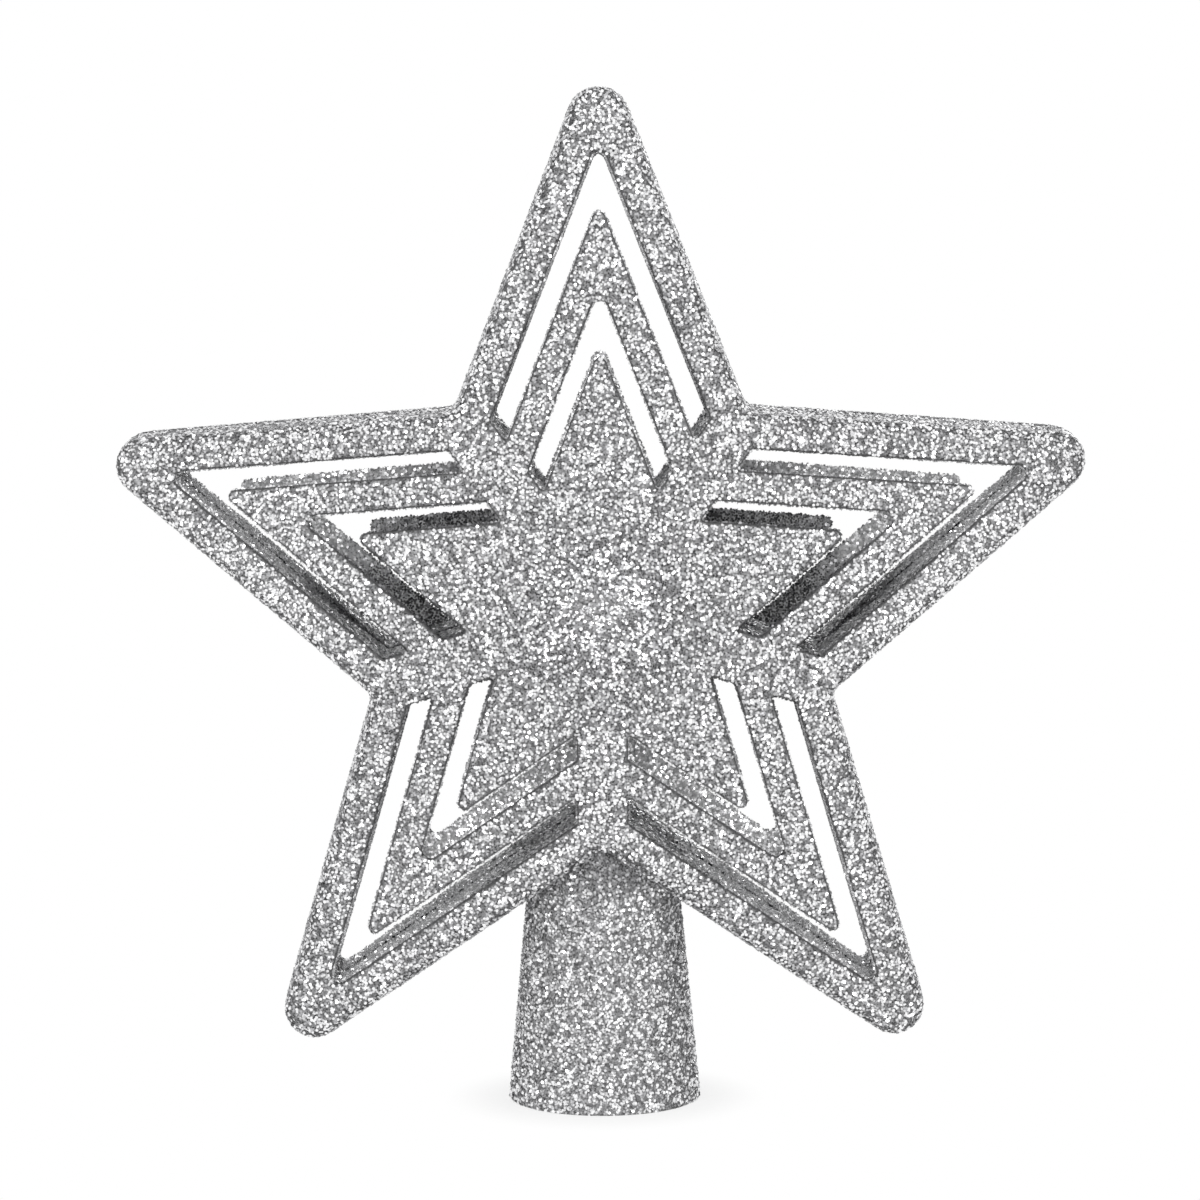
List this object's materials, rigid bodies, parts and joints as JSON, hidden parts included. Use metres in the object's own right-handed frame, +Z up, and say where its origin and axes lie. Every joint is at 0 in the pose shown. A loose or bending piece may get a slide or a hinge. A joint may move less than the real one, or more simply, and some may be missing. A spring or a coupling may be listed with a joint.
{
  "type": "christmas tree topper star",
  "caption": "Domed star tree topper of nested open outlines, in two glitter-coated half shells that close around a tapered socket for a tree's leading shoot.",
  "frame": {"origin": "middle of the socket's foot, on the surface that the topper stands on", "axes": "+Z up along the socket, +X to the right and +Y to the back as the star is seen from its front"},
  "size_m": [0.1888, 0.0414, 0.2001],
  "materials": {
    "silver_glitter": "moulded polystyrene covered with silver glitter flakes"
  },
  "bodies": {
    "root": {"front_star_shell": "silver_glitter", "back_star_shell": "silver_glitter", "tree_socket": "silver_glitter"}
  },
  "joints": []
}
